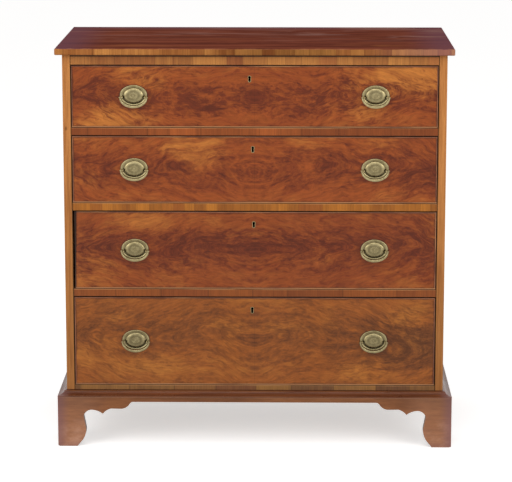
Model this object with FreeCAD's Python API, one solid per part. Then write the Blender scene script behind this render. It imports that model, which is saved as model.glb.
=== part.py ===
import FreeCAD, Part
import math
import os

# A straight-front chest of four long drawers on a bracket base.
# Millimetres. X runs to the right, Y from the front to the back, Z up.
# The origin is on the floor, in the middle of the width and of the depth.

# Carcase
case_width = 973.0
case_depth = 505.0
side_thickness = 21.5
opening_heights = [159.0, 173.5, 203.0, 233.0]
divider_thickness = 21.0
top_rail_thickness = 26.5
bottom_rail_thickness = 28.5
rail_depth = 60.0
tenon_length = 8.0
tenon_shoulder = 3.0
tenon_setback = 8.0
bottom_thickness = 18.0
back_thickness = 12.0
back_rebate_width = 10.0
back_board_count = 4

# Top board
top_thickness = 17.0
top_overhang_front = 18.0
top_overhang_side = 17.5
top_edge_radius = 3.0

# Runners, kickers and stops
runner_width = 24.0
kicker_width = 24.0
stop_width = 42.0
stop_length = 12.0
stop_height = 6.0
stop_inset = 150.0

# Bracket base and its moulding
bracket_height = 131.5
bracket_thickness = 24.0
base_projection = 22.5
apron_depth = 13.0
foot_width = 50.0
foot_chamfer_width = 10.0
foot_chamfer_height = 12.0
foot_corner_chamfer = 4.0
foot_bulge_reach = 73.0
foot_bulge_height = 46.0
foot_bulge_crown = (69.5, 27.0)
block_width = 26.0
rear_bracket_thickness = 18.0
rear_bracket_reach = 112.0
rear_bracket_foot = 44.0
moulding_height = 15.0
moulding_base_edge = 3.0
moulding_lip = 7.0
moulding_lip_height = 2.0
moulding_top_edge = 2.5

# The scroll inside each foot: (reach from the foot's outer edge, drop below the apron)
scroll_neck = (66.5, 38.0)
scroll_first_arc = [(74.0, 26.3), (88.0, 21.3)]
scroll_second_arc = [(103.0, 24.3), (116.6, 31.9)]
scroll_cusp_arc = [(126.0, 23.0), (138.0, 18.0)]
scroll_flat_end = (165.0, 18.5)
scroll_ogee_low = [(178.0, 14.0), (187.0, 4.5)]
scroll_ogee_high = [(190.5, 1.3), (195.0, 0.0)]

# Drawers, from the top one down
drawer_left_gaps = [1.2, 1.2, 4.0, 1.2]
keyhole_offsets = [-12.8, -4.6, -2.0, -6.0]
tail_counts = [3, 3, 4, 4]
drawer_right_gap = 1.2
drawer_top_gap = 1.5
running_gap = 0.3
drawer_end_gap = 8.0
front_thickness = 20.0
drawer_side_thickness = 12.0
drawer_back_thickness = 12.0
drawer_bottom_thickness = 7.0
bottom_groove_depth = 5.0
bottom_groove_height = 11.0
drawer_side_drop = 4.0
drawer_back_drop = 9.0
dovetail_lap = 6.0
dovetail_pin_width = 5.0
dovetail_slope = 1.0 / 6.0
bead_width = 3.0
bead_depth = 5.5
bead_projection = 1.8
bead_round = 1.3

# Locks
lock_width = 60.0
lock_height = 45.0
lock_depth = 9.0
lock_wall = 2.0
bolt_width = 26.0
bolt_thickness = 4.4
bolt_length = 22.0
bolt_travel = 6.5
bolt_clearance = 0.3
bolt_talon_radius = 4.0
mortise_clearance = 1.0
key_pin_radius = 1.4
keyhole_drop = 31.0
keyhole_radius = 3.4
keyhole_slot_width = 5.4
keyhole_slot_length = 11.6
escutcheon_rim = 1.2
escutcheon_thickness = 2.5

# Handles
handle_inset = 158.5
handle_rise = 2.5
plate_margin = 6.25
plate_height = 52.0
plate_thickness = 1.2
dome_clearance = 0.3
dome_height = 38.4
dome_rise = 5.2
post_spacing = 57.0
post_drop = 4.5
post_radius = 2.8
post_round = 1.6
post_reach = 12.0
bail_axis_reach = 8.6
shank_radius = 2.0
shank_end = 6.5
nut_radius = 5.5
nut_thickness = 3.5
fastener_clearance = 0.1
bail_radius = 2.4
bail_drop = 24.8
bail_side_arc = 17.0
bail_post_gap = 0.3
bail_pin_radius = 1.4
bail_pin_clearance = 0.06
bail_pin_overrun = 0.2

# Worked out from the sizes above
half_width = case_width / 2.0
half_opening = half_width - side_thickness
y_front = -(case_depth - base_projection) / 2.0
y_back = y_front + case_depth
y_back_boards = y_back - back_thickness
z_case = bracket_height
z_first_opening = z_case + bottom_rail_thickness
z_apron = bracket_height - apron_depth
stack_height = sum(opening_heights) + divider_thickness * (len(opening_heights) - 1)
z_last_opening_top = z_first_opening + stack_height
z_case_top = z_last_opening_top + top_rail_thickness
half_base = half_width + base_projection
y_base = y_front - base_projection
rail_ends = half_opening + tenon_length
handle_offset = half_opening - handle_inset
plate_width = post_spacing + 2.0 * plate_margin
dome_width = post_spacing - 2.0 * (post_radius + dome_clearance)
bail_half_width = post_spacing / 2.0 + post_radius + bail_post_gap + bail_radius
bail_pin_end = post_spacing / 2.0 - post_radius - bail_pin_overrun


def vec(x, y, z):
    return FreeCAD.Vector(x, y, z)


def save(shape, node):
    shape.exportStep("parts/" + node + ".step")
    print(node, len(shape.Solids), "solids", round(shape.Volume), "mm3", shape.isValid())


def block(x_range, y_range, z_range):
    size = [high - low for low, high in (x_range, y_range, z_range)]
    return Part.makeBox(size[0], size[1], size[2], vec(x_range[0], y_range[0], z_range[0]))


def polygon_solid(corners, direction):
    return Part.Face(Part.makePolygon(corners + corners[:1])).extrude(direction)


def path_edges(start, steps):
    # A step of one point is a straight edge, a step of two is an arc through the first to the second.
    edges = []
    here = start
    for step in steps:
        if len(step) == 1:
            edges.append(Part.LineSegment(here, step[0]).toShape())
        else:
            edges.append(Part.Arc(here, step[0], step[1]).toShape())
        here = step[-1]
    return edges


def cylinder_y(x, y_range, z, radius):
    return Part.makeCylinder(radius, y_range[1] - y_range[0], vec(x, y_range[0], z), vec(0, 1, 0))


def mirrored(shape):
    return shape.mirror(vec(0, 0, 0), vec(1, 0, 0))


def opening_levels():
    # (bottom, top) of each drawer's opening, from the top drawer down
    levels = []
    top = z_last_opening_top
    for height in opening_heights:
        levels.append((top - height, top))
        top = top - height - divider_thickness
    return levels


def plan_prism(corners, z_range):
    points = [vec(x, y, z_range[0]) for x, y in corners]
    return polygon_solid(points, vec(0, 0, z_range[1] - z_range[0]))


def mitre_plans(y_outer, x_outer, thickness):
    # Plan outlines of a front length and a right-hand return that meet in a mitre.
    front = [(-x_outer, y_outer), (x_outer, y_outer)]
    front += [(x_outer - thickness, y_outer + thickness), (thickness - x_outer, y_outer + thickness)]
    side = [(x_outer, y_outer), (x_outer, y_back)]
    side += [(x_outer - thickness, y_back), (x_outer - thickness, y_outer + thickness)]
    return front, side


# Carcase pieces

def tenoned_rail(z_range):
    rail = block((-half_opening, half_opening), (y_front, y_front + rail_depth), z_range)
    tenon_z = (z_range[0] + tenon_shoulder, z_range[1] - tenon_shoulder)
    tenon = block((-rail_ends, rail_ends), (y_front + tenon_setback, y_front + rail_depth), tenon_z)
    return rail.fuse(tenon).removeSplitter()


def bolt_mortise(index):
    # Pocket for a lock's bolt in the underside of the rail above its drawer
    x = keyhole_offsets[index]
    z = opening_levels()[index][1]
    half = bolt_width / 2.0 + mortise_clearance
    y_low, y_high = bolt_y_range()
    depth = bolt_travel + mortise_clearance
    y_range = (y_low - mortise_clearance, y_high + mortise_clearance)
    return block((x - half, x + half), y_range, (z, z + depth))


def make_rails():
    levels = opening_levels()
    top_rail = tenoned_rail((z_last_opening_top, z_case_top)).cut(bolt_mortise(0))
    dividers = []
    for index in range(1, len(opening_heights)):
        low = levels[index][1]
        divider = tenoned_rail((low, low + divider_thickness))
        dividers.append(divider.cut(bolt_mortise(index)))
    bottom_rail = tenoned_rail((z_case, z_first_opening))
    return top_rail, dividers, bottom_rail


def make_bottom_board():
    z_range = (z_first_opening - bottom_thickness, z_first_opening)
    return block((-rail_ends, rail_ends), (y_front + rail_depth, y_back_boards), z_range)


def make_side(housed):
    side = block((half_opening, half_width), (y_front, y_back), (z_case, z_case_top))
    rebate_x = (half_opening, half_opening + back_rebate_width)
    side = side.cut(block(rebate_x, (y_back_boards, y_back), (z_case, z_case_top)))
    return side.cut(housed)


def make_back_boards():
    edge = half_opening + back_rebate_width
    height = (z_case_top - z_case) / back_board_count
    boards = []
    for index in range(back_board_count):
        low = z_case + index * height
        boards.append(block((-edge, edge), (y_back_boards, y_back), (low, low + height)))
    return boards


def make_top_board():
    half = half_width + top_overhang_side
    y_range = (y_front - top_overhang_front, y_back)
    board = block((-half, half), y_range, (z_case_top, z_case_top + top_thickness))
    rounded = []
    for edge in board.Edges:
        box = edge.BoundBox
        level = box.ZMax - box.ZMin < 1e-6
        if level and box.YMin < y_back - 1e-6:
            rounded.append(edge)
    return board.makeFillet(top_edge_radius, rounded)


def make_strips(width, z_range):
    # A left and a right strip behind the rails, fixed to the sides
    strip = block((half_opening - width, half_opening), (y_front + rail_depth, y_back_boards), z_range)
    return [strip, mirrored(strip)]


def make_runners():
    runners = []
    for low, high in opening_levels()[:-1]:
        runners += make_strips(runner_width, (low - divider_thickness, low))
    return runners


def make_stops():
    stops = []
    y_low = y_front + front_thickness + running_gap
    for low, high in opening_levels():
        for x in (-half_opening + stop_inset, half_opening - stop_inset):
            x_range = (x - stop_width / 2.0, x + stop_width / 2.0)
            stops.append(block(x_range, (y_low, y_low + stop_length), (low, low + stop_height)))
    return stops


# Base pieces

def foot_void(length, place):
    # Space beside one foot, out to the middle of the board; place turns (reach, height) into a point
    def scroll(points):
        return tuple(place(reach, z_apron - drop) for reach, drop in points)

    floor = -1.0
    start = place(foot_width, floor)
    steps = [(place(foot_width, 0.0),)]
    steps.append((place(foot_width + foot_chamfer_width, foot_chamfer_height),))
    crown = place(foot_bulge_crown[0], foot_bulge_crown[1])
    steps.append((crown, place(foot_bulge_reach, foot_bulge_height)))
    steps.append(scroll([scroll_neck]))
    for arc in (scroll_first_arc, scroll_second_arc, scroll_cusp_arc):
        steps.append(scroll(arc))
    steps.append(scroll([scroll_flat_end]))
    steps.append(scroll(scroll_ogee_low))
    steps.append(scroll(scroll_ogee_high))
    steps.append((place(length / 2.0, z_apron),))
    steps.append((place(length / 2.0, floor),))
    steps.append((start,))
    return Part.Face(Part.Wire(path_edges(start, steps)))


def corner_void(place):
    points = [place(-1.0, -1.0), place(foot_corner_chamfer + 1.0, -1.0)]
    points += [place(foot_corner_chamfer, 0.0), place(0.0, foot_corner_chamfer)]
    points += [place(-1.0, foot_corner_chamfer + 1.0)]
    return Part.Face(Part.makePolygon(points + points[:1]))


def shaped_board(board, length, places, direction):
    for place in places:
        for face in (foot_void(length, place), corner_void(place)):
            board = board.cut(face.extrude(direction))
    return board.removeSplitter()


def make_brackets():
    front_plan, side_plan = mitre_plans(y_base, half_base, bracket_thickness)
    front = plan_prism(front_plan, (0.0, bracket_height))
    side = plan_prism(side_plan, (0.0, bracket_height))

    def from_left(reach, height):
        return vec(-half_base + reach, y_base, height)

    def from_right(reach, height):
        return vec(half_base - reach, y_base, height)

    def from_front(reach, height):
        return vec(half_base - bracket_thickness, y_base + reach, height)

    def from_back(reach, height):
        return vec(half_base - bracket_thickness, y_back - reach, height)

    front = shaped_board(front, 2.0 * half_base, (from_left, from_right), vec(0, bracket_thickness, 0))
    side_length = y_back - y_base
    side = shaped_board(side, side_length, (from_front, from_back), vec(bracket_thickness, 0, 0))
    return front, [mirrored(side), side]


def make_rear_brackets():
    outer = half_base - bracket_thickness
    y = y_back - rear_bracket_thickness
    corners = [(0.0, 0.0), (rear_bracket_foot, 0.0), (rear_bracket_reach, z_apron)]
    corners += [(rear_bracket_reach, bracket_height), (0.0, bracket_height)]
    points = [vec(outer - reach, y, height) for reach, height in corners]
    right = polygon_solid(points, vec(0, rear_bracket_thickness, 0))
    return [mirrored(right), right]


def make_foot_blocks():
    outer = half_base - bracket_thickness
    y_starts = [y_base + bracket_thickness, y_back - rear_bracket_thickness - block_width]
    blocks = []
    for y in y_starts:
        right = block((outer - block_width, outer), (y, y + block_width), (0.0, bracket_height))
        blocks += [mirrored(right), right]
    return blocks


def moulding_face(place):
    # Section of the base moulding; place turns (projection, height above the bracket) into a point
    lip_low = moulding_height - moulding_top_edge - moulding_lip_height
    cove_mid = (moulding_lip + (base_projection - moulding_lip) * 0.36,
                moulding_base_edge + (lip_low - moulding_base_edge) * 0.36)
    start = place(0.0, 0.0)
    steps = [(place(base_projection, 0.0),)]
    steps.append((place(base_projection, moulding_base_edge),))
    steps.append((place(cove_mid[0], cove_mid[1]), place(moulding_lip, lip_low)))
    steps.append((place(moulding_lip, lip_low + moulding_lip_height),))
    steps.append((place(0.0, moulding_height),))
    steps.append((start,))
    return Part.Face(Part.Wire(path_edges(start, steps)))


def make_base_moulding():
    front_plan, side_plan = mitre_plans(y_base, half_base, base_projection)
    z_range = (z_case, z_case + moulding_height)

    def at_left_end(projection, height):
        return vec(-half_base, y_front - projection, z_case + height)

    def at_front_end(projection, height):
        return vec(half_width + projection, y_base, z_case + height)

    front = moulding_face(at_left_end).extrude(vec(2.0 * half_base, 0, 0))
    front = front.common(plan_prism(front_plan, z_range))
    side = moulding_face(at_front_end).extrude(vec(0, y_back - y_base, 0))
    side = side.common(plan_prism(side_plan, z_range))
    return [front, mirrored(side), side]


# Drawer pieces

def drawer_frame(index):
    # The places and sizes that the pieces of one drawer share
    low, high = opening_levels()[index]
    frame = {"z_low": low + running_gap, "z_high": high - drawer_top_gap}
    frame["x_low"] = -half_opening + drawer_left_gaps[index]
    frame["x_high"] = half_opening - drawer_right_gap
    frame["y_inside"] = y_front + front_thickness
    frame["y_end"] = y_back_boards - drawer_end_gap
    frame["z_side"] = frame["z_high"] - drawer_side_drop
    frame["z_groove"] = frame["z_low"] + bottom_groove_height
    frame["z_floor"] = frame["z_groove"] + drawer_bottom_thickness
    frame["key_x"] = keyhole_offsets[index]
    frame["key_z"] = high - keyhole_drop
    frame["handle_z"] = (low + high) / 2.0 + handle_rise
    frame["tails"] = tail_counts[index]
    return frame


def dovetails(x_range, y_root, y_tip, z_range, count):
    # Tails that widen from y_root to y_tip, spread evenly over the height
    pitch = (z_range[1] - z_range[0]) / count
    narrow = (pitch - dovetail_pin_width) / 2.0 - abs(y_tip - y_root) * dovetail_slope
    wide = (pitch - dovetail_pin_width) / 2.0
    tails = []
    for index in range(count):
        z = z_range[0] + (index + 0.5) * pitch
        corners = [(y_root, z - narrow), (y_root, z + narrow), (y_tip, z + wide), (y_tip, z - wide)]
        points = [vec(x_range[0], y, height) for y, height in corners]
        tails.append(polygon_solid(points, vec(x_range[1] - x_range[0], 0, 0)))
    return tails


def side_ranges(frame):
    left = (frame["x_low"], frame["x_low"] + drawer_side_thickness)
    right = (frame["x_high"] - drawer_side_thickness, frame["x_high"])
    return left, right


def front_tails(frame, x_range):
    y_tip = y_front + dovetail_lap
    z_range = (frame["z_low"], frame["z_side"])
    return dovetails(x_range, frame["y_inside"], y_tip, z_range, frame["tails"])


def back_tails(frame, x_range):
    y_root = frame["y_end"] - drawer_back_thickness
    z_range = (frame["z_floor"], frame["z_side"] - drawer_back_drop)
    return dovetails(x_range, y_root, frame["y_end"], z_range, frame["tails"])


def drawer_bottom_box(frame):
    left, right = side_ranges(frame)
    x_range = (left[1] - bottom_groove_depth, right[0] + bottom_groove_depth)
    y_range = (frame["y_inside"] - bottom_groove_depth, frame["y_end"])
    return block(x_range, y_range, (frame["z_groove"], frame["z_floor"]))


def bead_outer(frame):
    return (frame["x_low"], frame["x_high"]), (frame["z_low"], frame["z_high"])


def keyhole_prism(frame, grow, y_range):
    # A round eye above a slot with a round end
    eye = cylinder_y(frame["key_x"], y_range, frame["key_z"], keyhole_radius + grow)
    half = keyhole_slot_width / 2.0 + grow
    end_z = frame["key_z"] - keyhole_slot_length + keyhole_slot_width / 2.0
    slot = block((frame["key_x"] - half, frame["key_x"] + half), y_range, (end_z, frame["key_z"]))
    end = cylinder_y(frame["key_x"], y_range, end_z, half)
    return eye.fuse([slot, end]).removeSplitter()


def lock_y_range(frame):
    return (frame["y_inside"] - lock_depth, frame["y_inside"])


def bolt_y_range():
    middle = y_front + front_thickness - lock_depth / 2.0
    return (middle - bolt_thickness / 2.0, middle + bolt_thickness / 2.0)


def lock_box(frame):
    x_range = (frame["key_x"] - lock_width / 2.0, frame["key_x"] + lock_width / 2.0)
    return block(x_range, lock_y_range(frame), (frame["z_high"] - lock_height, frame["z_high"]))


def post_places(frame):
    # (x, z) of each handle's left and right post, left handle first
    places = []
    for centre in (-handle_offset, handle_offset):
        for offset in (-post_spacing / 2.0, post_spacing / 2.0):
            places.append((centre + offset, frame["handle_z"] - post_drop))
    return places


def make_drawer_front(frame):
    x_range, z_range = bead_outer(frame)
    front = block(x_range, (y_front, frame["y_inside"]), z_range)
    core_x = (x_range[0] + bead_width, x_range[1] - bead_width)
    core_z = (z_range[0] + bead_width, z_range[1] - bead_width)
    rebate = block(x_range, (y_front, y_front + bead_depth), z_range)
    rebate = rebate.cut(block(core_x, (y_front, y_front + bead_depth), core_z))
    cutters = [rebate, lock_box(frame), drawer_bottom_box(frame)]
    for side_range in side_ranges(frame):
        cutters += front_tails(frame, side_range)
    cutters.append(keyhole_prism(frame, 0.0, (y_front, frame["y_inside"])))
    cutters.append(keyhole_prism(frame, escutcheon_rim, (y_front, y_front + escutcheon_thickness)))
    for x, z in post_places(frame):
        cutters.append(cylinder_y(x, (y_front, frame["y_inside"]), z, shank_radius + fastener_clearance))
    return front.cut(cutters).removeSplitter()


def make_cockbead(frame):
    # A ring with a rounded nose, cut into four mitred strips
    x_range, z_range = bead_outer(frame)
    inner_x = (x_range[0] + bead_width, x_range[1] - bead_width)
    inner_z = (z_range[0] + bead_width, z_range[1] - bead_width)
    y_nose = y_front - bead_projection
    y_range = (y_nose, y_front + bead_depth)
    ring = block(x_range, y_range, z_range).cut(block(inner_x, y_range, inner_z))
    nose = [edge for edge in ring.Edges if edge.BoundBox.YMax < y_nose + 1e-6]
    ring = ring.makeFillet(bead_round, nose)
    left, right = x_range
    low, high = z_range
    inner = [(inner_x[0], inner_z[0]), (inner_x[1], inner_z[0])]
    inner += [(inner_x[1], inner_z[1]), (inner_x[0], inner_z[1])]
    outer = [(left, low), (right, low), (right, high), (left, high)]
    strips = []
    for index in range(4):
        after = (index + 1) % 4
        corners = [outer[index], outer[after], inner[after], inner[index]]
        points = [vec(x, y_nose, z) for x, z in corners]
        wedge = polygon_solid(points, vec(0, y_range[1] - y_range[0], 0))
        strips.append(ring.common(wedge))
    return strips


def make_drawer_sides(frame):
    sides = []
    for x_range in side_ranges(frame):
        y_range = (frame["y_inside"], frame["y_end"] - drawer_back_thickness)
        side = block(x_range, y_range, (frame["z_low"], frame["z_side"]))
        side = side.fuse(front_tails(frame, x_range) + back_tails(frame, x_range))
        sides.append(side.cut(drawer_bottom_box(frame)).removeSplitter())
    return sides


def make_drawer_back(frame):
    z_range = (frame["z_floor"], frame["z_side"] - drawer_back_drop)
    y_range = (frame["y_end"] - drawer_back_thickness, frame["y_end"])
    back = block((frame["x_low"], frame["x_high"]), y_range, z_range)
    for x_range in side_ranges(frame):
        back = back.cut(back_tails(frame, x_range))
    return back.removeSplitter()


def bolt_cavity(frame):
    half = bolt_width / 2.0 + bolt_clearance
    y_low, y_high = bolt_y_range()
    low = frame["z_high"] - bolt_length - 2.0 * bolt_clearance
    y_range = (y_low - bolt_clearance, y_high + bolt_clearance)
    return block((frame["key_x"] - half, frame["key_x"] + half), y_range, (low, frame["z_high"]))


def key_cavity(frame):
    # Room for the key's bit to turn, around the pin, open to the bolt above it
    y_low, y_high = bolt_y_range()
    y_range = (y_low - bolt_clearance, y_high + bolt_clearance)
    half = keyhole_slot_length - keyhole_slot_width / 2.0
    low = frame["z_high"] - lock_height + lock_wall
    high = frame["z_high"] - bolt_length - bolt_clearance
    return block((frame["key_x"] - half, frame["key_x"] + half), y_range, (low, high))


def make_lock_case(frame):
    y_low, y_high = lock_y_range(frame)
    y_key = bolt_y_range()[0]
    keyhole = keyhole_prism(frame, 0.0, (y_low, y_key))
    case = lock_box(frame).cut([bolt_cavity(frame), key_cavity(frame), keyhole])
    y_pin_end = bolt_y_range()[1] + lock_wall / 2.0
    pin = cylinder_y(frame["key_x"], (y_low, y_pin_end), frame["key_z"], key_pin_radius)
    return case.fuse(pin).removeSplitter()


def make_lock_bolt(frame):
    x_range = (frame["key_x"] - bolt_width / 2.0, frame["key_x"] + bolt_width / 2.0)
    high = frame["z_high"] - bolt_clearance
    bolt = block(x_range, bolt_y_range(), (high - bolt_length, high))
    talon = cylinder_y(frame["key_x"], bolt_y_range(), high - bolt_length, bolt_talon_radius)
    return bolt.cut(talon)


def oval_prism(x, z, width, height, y_range):
    oval = Part.Ellipse(vec(0, 0, 0), width / 2.0, height / 2.0).toShape()
    face = Part.Face(Part.Wire([oval]))
    face.rotate(vec(0, 0, 0), vec(1, 0, 0), 90.0)
    face.translate(vec(x, y_range[0], z))
    return face.extrude(vec(0, y_range[1] - y_range[0], 0))


def make_dome(x, z):
    # A round cap of a ball, squeezed to an oval
    half = dome_width / 2.0
    ball_radius = (half ** 2 + dome_rise ** 2) / (2.0 * dome_rise)
    ball = Part.makeSphere(ball_radius, vec(0, ball_radius - dome_rise, 0))
    cap = ball.common(block((-half, half), (-dome_rise, 0.0), (-half, half)))
    squeeze = FreeCAD.Matrix()
    squeeze.scale(1.0, 1.0, dome_height / dome_width)
    cap = cap.transformGeometry(squeeze)
    cap.translate(vec(x, y_front - plate_thickness, z))
    return cap


def make_plates(frame):
    # The two handle plates, and the brass lining of the keyhole
    plates = []
    places = post_places(frame)
    for side, centre in enumerate((-handle_offset, handle_offset)):
        y_range = (y_front - plate_thickness, y_front)
        plate = oval_prism(centre, frame["handle_z"], plate_width, plate_height, y_range)
        plate = plate.fuse(make_dome(centre, frame["handle_z"]))
        holes = []
        hole_y = (y_front - plate_thickness - dome_rise, y_front)
        for x, z in places[2 * side:2 * side + 2]:
            holes.append(cylinder_y(x, hole_y, z, post_radius + fastener_clearance))
        plates.append(plate.cut(holes))
    y_range = (y_front, y_front + escutcheon_thickness)
    lining = keyhole_prism(frame, escutcheon_rim, y_range)
    plates.append(lining.cut(keyhole_prism(frame, 0.0, y_range)))
    return plates


def make_posts(frame):
    # Four headed posts that pass through the front, each with its nut behind
    pieces = []
    for x, z in post_places(frame):
        head = cylinder_y(x, (y_front - post_reach, y_front), z, post_radius)
        rim = [edge for edge in head.Edges if edge.BoundBox.YMax < y_front - post_reach + 1e-6]
        head = head.makeFillet(post_round, rim)
        eye_low = vec(x - post_radius - 1.0, y_front - bail_axis_reach, z)
        eye_length = 2.0 * (post_radius + 1.0)
        eye = Part.makeCylinder(bail_pin_radius + bail_pin_clearance, eye_length, eye_low, vec(1, 0, 0))
        shank = cylinder_y(x, (y_front, frame["y_inside"] + shank_end), z, shank_radius)
        pieces.append(head.cut(eye).fuse(shank))
    for x, z in post_places(frame):
        corners = []
        for turn in range(6):
            angle = math.radians(60.0 * turn)
            corners.append(vec(x + nut_radius * math.cos(angle), frame["y_inside"],
                               z + nut_radius * math.sin(angle)))
        nut = polygon_solid(corners, vec(0, nut_thickness, 0))
        y_range = (frame["y_inside"], frame["y_inside"] + nut_thickness)
        pieces.append(nut.cut(cylinder_y(x, y_range, z, shank_radius + fastener_clearance)))
    return pieces


def make_bail(frame, centre):
    # Half an oval of round bar: an arc at each side and a flatter one between, with pins turned inwards
    y = y_front - bail_axis_reach
    z = frame["handle_z"] - post_drop
    side_centre = bail_half_width - bail_side_arc
    rise = bail_drop - bail_side_arc
    low_centre = (side_centre ** 2 - rise ** 2) / (2.0 * rise)
    lean = math.degrees(math.atan2(low_centre, side_centre))
    circle = Part.Circle(vec(bail_half_width, y, 0), vec(0, 0, 1), bail_radius)
    section = Part.Face(Part.Wire([circle.toShape()]))
    axis = vec(0, 1, 0)
    side_arc = section.revolve(vec(side_centre, y, 0), axis, lean)
    joint = section.copy()
    joint.rotate(vec(side_centre, y, 0), axis, lean)
    low_arc = joint.revolve(vec(0, y, low_centre), axis, 180.0 - 2.0 * lean)
    ball = Part.makeSphere(bail_radius, vec(bail_half_width, y, 0))
    pin_length = bail_half_width - bail_pin_end
    pin = Part.makeCylinder(bail_pin_radius, pin_length, vec(bail_pin_end, y, 0), vec(1, 0, 0))
    right_end = side_arc.fuse([ball, pin])
    bail = low_arc.fuse([right_end, mirrored(right_end)]).removeSplitter()
    bail.translate(vec(centre, 0, z))
    return bail


def save_carcase():
    top_rail, dividers, bottom_rail = make_rails()
    bottom_board = make_bottom_board()
    housed = [top_rail, bottom_rail, bottom_board] + dividers
    side = make_side(housed)
    save(make_top_board(), "top_board")
    save(mirrored(side), "side_left")
    save(side, "side_right")
    save(Part.makeCompound(make_back_boards()), "back_boards")
    save(bottom_board, "bottom_board")
    save(top_rail, "top_rail")
    save(Part.makeCompound(dividers), "drawer_dividers")
    save(bottom_rail, "bottom_rail")
    save(Part.makeCompound(make_runners()), "drawer_runners")
    save(Part.makeCompound(make_strips(kicker_width, (z_last_opening_top, z_case_top))), "top_kickers")
    save(Part.makeCompound(make_stops()), "drawer_stops")


def save_base():
    front, sides = make_brackets()
    save(front, "bracket_front")
    save(Part.makeCompound(sides), "bracket_sides")
    save(Part.makeCompound(make_rear_brackets()), "bracket_rear")
    save(Part.makeCompound(make_foot_blocks()), "foot_blocks")
    save(Part.makeCompound(make_base_moulding()), "base_moulding")


def save_drawer(index):
    name = "drawer_" + str(index + 1) + "_"
    frame = drawer_frame(index)
    save(make_drawer_front(frame), name + "front")
    save(Part.makeCompound(make_cockbead(frame)), name + "cockbead")
    save(Part.makeCompound(make_drawer_sides(frame)), name + "sides")
    save(make_drawer_back(frame), name + "back")
    save(drawer_bottom_box(frame), name + "bottom")
    save(make_lock_case(frame), name + "lock_case")
    save(make_lock_bolt(frame), name + "lock_bolt")
    save(Part.makeCompound(make_plates(frame)), name + "plates")
    save(Part.makeCompound(make_posts(frame)), name + "posts")
    save(make_bail(frame, -handle_offset), name + "bail_left")
    save(make_bail(frame, handle_offset), name + "bail_right")


os.makedirs("parts", exist_ok=True)
save_carcase()
save_base()
for drawer_index in range(len(opening_heights)):
    save_drawer(drawer_index)
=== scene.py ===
import math
import bmesh
import bpy
from functools import partial, reduce
from mathutils import Matrix, Vector


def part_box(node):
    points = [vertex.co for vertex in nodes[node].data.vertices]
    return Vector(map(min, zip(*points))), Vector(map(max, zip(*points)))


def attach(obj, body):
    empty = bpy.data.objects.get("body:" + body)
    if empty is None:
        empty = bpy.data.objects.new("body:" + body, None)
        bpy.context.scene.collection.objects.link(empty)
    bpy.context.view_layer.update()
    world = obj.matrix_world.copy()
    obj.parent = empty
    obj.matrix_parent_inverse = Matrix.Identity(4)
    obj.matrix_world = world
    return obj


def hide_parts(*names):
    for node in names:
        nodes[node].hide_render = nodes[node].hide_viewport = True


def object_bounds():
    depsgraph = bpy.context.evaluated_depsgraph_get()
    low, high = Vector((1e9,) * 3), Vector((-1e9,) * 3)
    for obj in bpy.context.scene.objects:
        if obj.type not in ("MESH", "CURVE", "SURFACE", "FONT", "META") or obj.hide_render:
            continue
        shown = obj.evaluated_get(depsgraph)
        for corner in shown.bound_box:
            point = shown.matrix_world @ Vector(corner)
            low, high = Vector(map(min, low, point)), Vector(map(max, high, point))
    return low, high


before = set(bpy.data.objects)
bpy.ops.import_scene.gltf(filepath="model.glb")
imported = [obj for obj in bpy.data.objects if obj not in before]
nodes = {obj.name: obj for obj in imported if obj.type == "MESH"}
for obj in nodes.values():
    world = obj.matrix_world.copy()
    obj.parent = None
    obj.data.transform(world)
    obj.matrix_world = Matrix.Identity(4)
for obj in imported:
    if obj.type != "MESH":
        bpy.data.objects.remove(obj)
cadLow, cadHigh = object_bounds()
drawerNumbers = [1, 2, 3, 4]
mm = 0.001
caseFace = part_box("drawer_1_front")[0].y  # the plane of the drawer fronts and rails
print("frame loaded:", len(nodes), "nodes")


# small helpers for the node tree that is being built

tree = None
unfinished = None  # the material that the tree belongs to


def linear(value):
    # one channel of a screen colour, 0 to 255, as a shader reads it
    value /= 255
    return value / 12.92 if value <= 0.04045 else ((value + 0.055) / 1.055) ** 2.4


def connect(node, inputs):
    # three numbers for a colour are a screen colour, and four are already linear
    for name, value in inputs.items():
        socket = node.inputs[name]
        if isinstance(value, bpy.types.NodeSocket):
            tree.links.new(value, socket)
        elif socket.type == "RGBA" and len(value) == 3:
            socket.default_value = [linear(channel) for channel in value] + [1.0]
        else:
            socket.default_value = value


def put(kind, inputs=None, **settings):
    node = tree.nodes.new(kind if kind.startswith("NodeGroup") else "ShaderNode" + kind)
    for name, value in settings.items():
        setattr(node, name, value)
    connect(node, inputs or {})
    return node


def calc(operation, first, second=0.0, third=0.0, clamp=False):
    inputs = {0: first, 1: second, 2: third}
    return put("Math", inputs, operation=operation, use_clamp=clamp).outputs[0]


times, plus, minus, over = [partial(calc, word) for word in ("MULTIPLY", "ADD", "SUBTRACT", "DIVIDE")]
larger, smaller = partial(calc, "MAXIMUM"), partial(calc, "MINIMUM")
absolute, root = partial(calc, "ABSOLUTE"), partial(calc, "SQRT")
timesPlus = partial(calc, "MULTIPLY_ADD")


def smooth(value, low, high, outLow=0.0, outHigh=1.0):
    inputs = {"Value": value, "From Min": low, "From Max": high, "To Min": outLow, "To Max": outHigh}
    return put("MapRange", inputs, interpolation_type="SMOOTHSTEP").outputs["Result"]


def mix(factor, first, second, way="MIX"):
    inputs = {0: factor, 6: first, 7: second}
    return put("Mix", inputs, data_type="RGBA", blend_type=way).outputs[2]


def tone(colour, value):
    # multiplies a colour by a grey value
    grey = put("CombineColor", {0: value, 1: value, 2: value}).outputs[0]
    return mix(1.0, colour, grey, "MULTIPLY")


def shaded(colour, value, low, high, outLow, outHigh):
    return tone(colour, smooth(value, low, high, outLow, outHigh))


def distance(first, second):
    return absolute(minus(first, second))


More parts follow.
